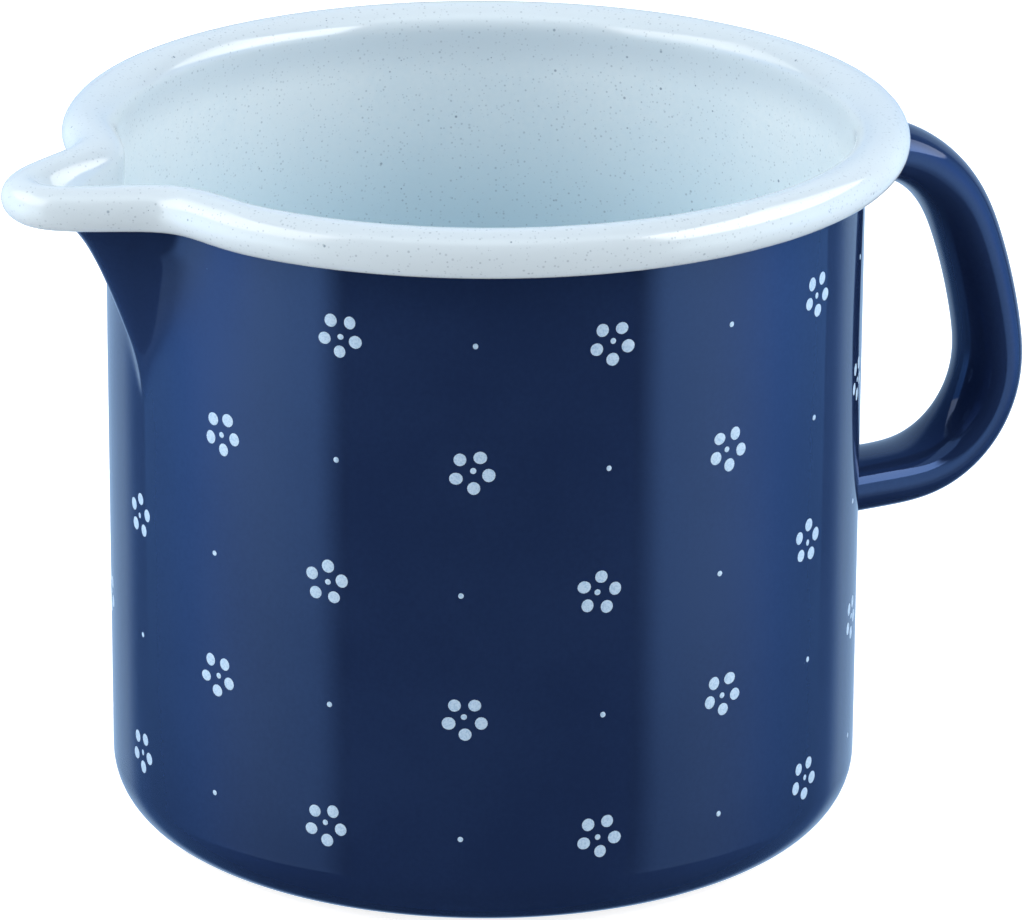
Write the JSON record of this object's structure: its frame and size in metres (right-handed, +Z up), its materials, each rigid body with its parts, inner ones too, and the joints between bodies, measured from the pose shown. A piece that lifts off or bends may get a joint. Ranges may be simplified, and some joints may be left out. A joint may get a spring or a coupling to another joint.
{
  "type": "milk pot",
  "caption": "Straight-sided enamelled steel milk pot with a pressed pouring spout, a rolled rim and a hollow side handle opposite the spout.",
  "frame": {"origin": "centre of the flat underside, on the pot's axis", "axes": "+Z up along the pot's axis, +X towards the handle, so -X is the pouring direction"},
  "size_m": [0.187, 0.137, 0.1187],
  "materials": {
    "drawn_steel": "plain low-carbon steel, hidden under the enamel except at cut edges",
    "blue_enamel": "deep blue glossy glass enamel",
    "white_enamel": "cool white glossy glass enamel with fine grey-blue specks",
    "pale_print": "pale blue-white fired print, low gloss relief"
  },
  "bodies": {
    "root": {"steel_pot": "drawn_steel", "white_lining": "white_enamel", "blue_wall_coat": "blue_enamel", "blue_base_coat": "blue_enamel", "handle_shell": "drawn_steel", "blue_handle_coat": "blue_enamel", "upper_handle_weld": "blue_enamel", "lower_handle_weld": "blue_enamel"}
  },
  "joints": []
}
